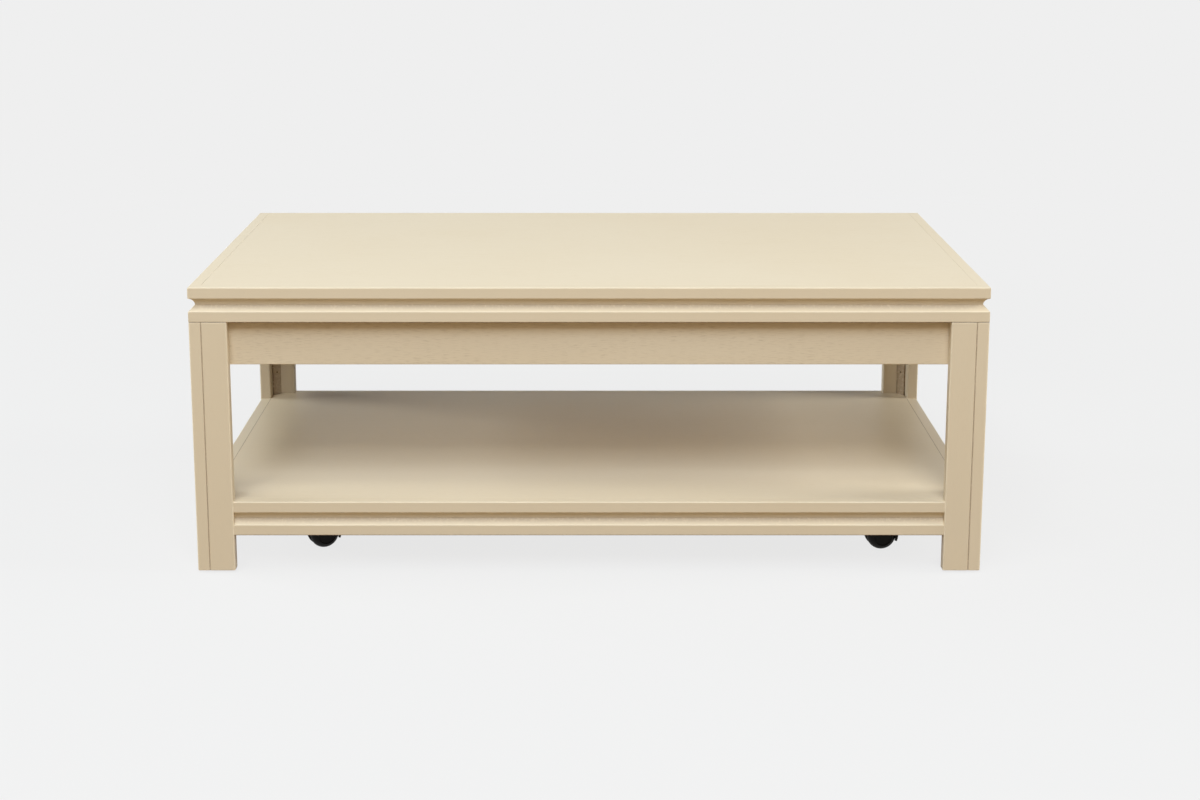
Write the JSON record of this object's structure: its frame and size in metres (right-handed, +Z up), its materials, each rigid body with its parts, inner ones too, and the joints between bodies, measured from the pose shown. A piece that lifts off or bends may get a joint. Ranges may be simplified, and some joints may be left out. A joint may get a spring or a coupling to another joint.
{
  "type": "coffee table",
  "caption": "Low rectangular coffee table with cove-moulded edges, L-section corner legs, recessed aprons and an open moulded shelf, rolling on hidden hooded castors.",
  "frame": {"origin": "on the floor under the middle of the top", "axes": "+X along the table's length, -Y to the front, +Z up"},
  "size_m": [1.3, 0.7, 0.485],
  "materials": {
    "cream_lacquer": "satin cream lacquer over wood, thin at the joints",
    "lacquered_ash": "satin cream lacquer over open-pored ash, grain showing",
    "bare_timber": "sanded softwood, unfinished",
    "beech_dowel": "fluted beech",
    "castor_nylon": "moulded black nylon",
    "zinc_steel": "bright zinc plate"
  },
  "bodies": {
    "table": {"top_panel": "cream_lacquer", "shelf_panel": "cream_lacquer", "joint_dowels": "beech_dowel", "corner_block_nails": "zinc_steel", "apron_screws": "zinc_steel", "batten_screws": "zinc_steel", "castor_screws": "zinc_steel", "castor_kingpins": "zinc_steel", "top_moulding_front": "cream_lacquer", "shelf_moulding_front": "cream_lacquer", "apron_front": "lacquered_ash", "top_moulding_back": "cream_lacquer", "shelf_moulding_back": "cream_lacquer", "apron_back": "lacquered_ash", "top_moulding_left": "cream_lacquer", "shelf_moulding_left": "cream_lacquer", "apron_left": "lacquered_ash", "top_moulding_right": "cream_lacquer", "shelf_moulding_right": "cream_lacquer", "apron_right": "lacquered_ash", "top_batten_left": "bare_timber", "castor_bearer_left": "bare_timber", "top_batten_right": "bare_timber", "castor_bearer_right": "bare_timber", "leg_front_left_side_board": "cream_lacquer", "leg_front_left_face_board": "cream_lacquer", "leg_front_left_corner_block": "cream_lacquer", "apron_brace_front_left": "bare_timber", "castor_front_left_plate": "zinc_steel", "leg_front_right_side_board": "cream_lacquer", "leg_front_right_face_board": "cream_lacquer", "leg_front_right_corner_block": "cream_lacquer", "apron_brace_front_right": "bare_timber", "castor_front_right_plate": "zinc_steel", "leg_back_left_side_board": "cream_lacquer", "leg_back_left_face_board": "cream_lacquer", "leg_back_left_corner_block": "cream_lacquer", "apron_brace_back_left": "bare_timber", "castor_back_left_plate": "zinc_steel", "leg_back_right_side_board": "cream_lacquer", "leg_back_right_face_board": "cream_lacquer", "leg_back_right_corner_block": "cream_lacquer", "apron_brace_back_right": "bare_timber", "castor_back_right_plate": "zinc_steel"},
    "castor_front_left": {"castor_front_left_hood": "castor_nylon", "castor_front_left_axle": "zinc_steel"},
    "castor_front_left_wheel_left": {"castor_front_left_wheel_left": "castor_nylon"},
    "castor_front_left_wheel_right": {"castor_front_left_wheel_right": "castor_nylon"},
    "castor_front_right": {"castor_front_right_hood": "castor_nylon", "castor_front_right_axle": "zinc_steel"},
    "castor_front_right_wheel_left": {"castor_front_right_wheel_left": "castor_nylon"},
    "castor_front_right_wheel_right": {"castor_front_right_wheel_right": "castor_nylon"},
    "castor_back_left": {"castor_back_left_hood": "castor_nylon", "castor_back_left_axle": "zinc_steel"},
    "castor_back_left_wheel_left": {"castor_back_left_wheel_left": "castor_nylon"},
    "castor_back_left_wheel_right": {"castor_back_left_wheel_right": "castor_nylon"},
    "castor_back_right": {"castor_back_right_hood": "castor_nylon", "castor_back_right_axle": "zinc_steel"},
    "castor_back_right_wheel_left": {"castor_back_right_wheel_left": "castor_nylon"},
    "castor_back_right_wheel_right": {"castor_back_right_wheel_right": "castor_nylon"}
  },
  "joints": [
    {"name": "front_left_swivel", "type": "hinge", "parent": "table", "child": "castor_front_left", "pos_m": [-0.48, -0.226, 0.0635], "axis": [0, 0, 1], "continuous": true},
    {"name": "front_left_wheel_left_spin", "type": "hinge", "parent": "castor_front_left", "child": "castor_front_left_wheel_left", "pos_m": [-0.46058, -0.21567, 0.025], "axis": [-0.4695, 0.8829, 0], "continuous": true},
    {"name": "front_left_wheel_right_spin", "type": "hinge", "parent": "castor_front_left", "child": "castor_front_left_wheel_right", "pos_m": [-0.46058, -0.21567, 0.025], "axis": [-0.4695, 0.8829, 0], "continuous": true},
    {"name": "front_right_swivel", "type": "hinge", "parent": "table", "child": "castor_front_right", "pos_m": [0.48, -0.226, 0.0635], "axis": [0, 0, 1], "continuous": true},
    {"name": "front_right_wheel_left_spin", "type": "hinge", "parent": "castor_front_right", "child": "castor_front_right_wheel_left", "pos_m": [0.50179, -0.22294, 0.025], "axis": [-0.1392, 0.9903, 0], "continuous": true},
    {"name": "front_right_wheel_right_spin", "type": "hinge", "parent": "castor_front_right", "child": "castor_front_right_wheel_right", "pos_m": [0.50179, -0.22294, 0.025], "axis": [-0.1392, 0.9903, 0], "continuous": true},
    {"name": "back_left_swivel", "type": "hinge", "parent": "table", "child": "castor_back_left", "pos_m": [-0.48, 0.226, 0.0635], "axis": [0, 0, 1], "continuous": true},
    {"name": "back_left_wheel_left_spin", "type": "hinge", "parent": "castor_back_left", "child": "castor_back_left_wheel_left", "pos_m": [-0.45885, 0.21994, 0.025], "axis": [0.2756, 0.9613, 0], "continuous": true},
    {"name": "back_left_wheel_right_spin", "type": "hinge", "parent": "castor_back_left", "child": "castor_back_left_wheel_right", "pos_m": [-0.45885, 0.21994, 0.025], "axis": [0.2756, 0.9613, 0], "continuous": true},
    {"name": "back_right_swivel", "type": "hinge", "parent": "table", "child": "castor_back_right", "pos_m": [0.48, 0.226, 0.0635], "axis": [0, 0, 1], "continuous": true},
    {"name": "back_right_wheel_left_spin", "type": "hinge", "parent": "castor_back_right", "child": "castor_back_right_wheel_left", "pos_m": [0.4996, 0.23599, 0.025], "axis": [-0.454, 0.891, 0], "continuous": true},
    {"name": "back_right_wheel_right_spin", "type": "hinge", "parent": "castor_back_right", "child": "castor_back_right_wheel_right", "pos_m": [0.4996, 0.23599, 0.025], "axis": [-0.454, 0.891, 0], "continuous": true}
  ]
}
